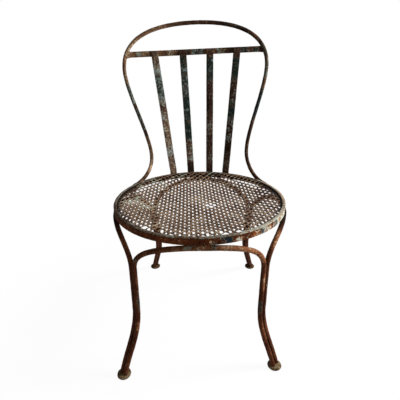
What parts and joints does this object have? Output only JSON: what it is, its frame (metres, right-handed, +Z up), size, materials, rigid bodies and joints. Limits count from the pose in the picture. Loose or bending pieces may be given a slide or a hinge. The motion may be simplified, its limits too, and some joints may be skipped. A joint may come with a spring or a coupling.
{
  "type": "garden chair",
  "caption": "Riveted iron garden chair: round dished mesh seat, balloon loop back with flat vertical slats and a cross rail, and paired-rod arched legs on small disc feet; for sitting outdoors.",
  "frame": {"origin": "on the floor, at the middle of the whole chair's outline seen from above", "axes": "+Z up, the chair faces -Y, +X is the right-hand side of a picture taken from the front"},
  "size_m": [0.4563, 0.5412, 0.8658],
  "materials": {
    "dark_iron": "dark brown rust with remains of dark green paint, rough",
    "rusty_iron": "red-brown rust, rough",
    "worn_paint": "grey-green paint worn and stained with rust",
    "mesh_iron": "rusty expanded metal with grey-green paint remains",
    "foot_iron": "rust with dried mud"
  },
  "bodies": {
    "root": {"back_loop": "dark_iron", "cross_rail": "dark_iron", "slat_1": "dark_iron", "slat_2": "dark_iron", "slat_3": "dark_iron", "slat_4": "dark_iron", "band_splice": "dark_iron", "seat_band": "rusty_iron", "front_leg_hoop": "rusty_iron", "rear_leg_hoop": "rusty_iron", "left_leg_hoop": "rusty_iron", "right_leg_hoop": "rusty_iron", "seat_rim": "worn_paint", "seat_pan": "mesh_iron", "front_left_foot": "foot_iron", "front_right_foot": "foot_iron", "rear_left_foot": "foot_iron", "rear_right_foot": "foot_iron", "slat_1_band_rivet": "dark_iron", "slat_2_band_rivet": "dark_iron", "slat_3_band_rivet": "dark_iron", "slat_4_band_rivet": "dark_iron", "slat_1_rail_rivet": "dark_iron", "slat_2_rail_rivet": "dark_iron", "slat_3_rail_rivet": "dark_iron", "slat_4_rail_rivet": "dark_iron", "left_tail_rivet": "dark_iron", "right_tail_rivet": "dark_iron", "splice_left_rivet": "dark_iron", "splice_right_rivet": "dark_iron"}
  },
  "joints": []
}
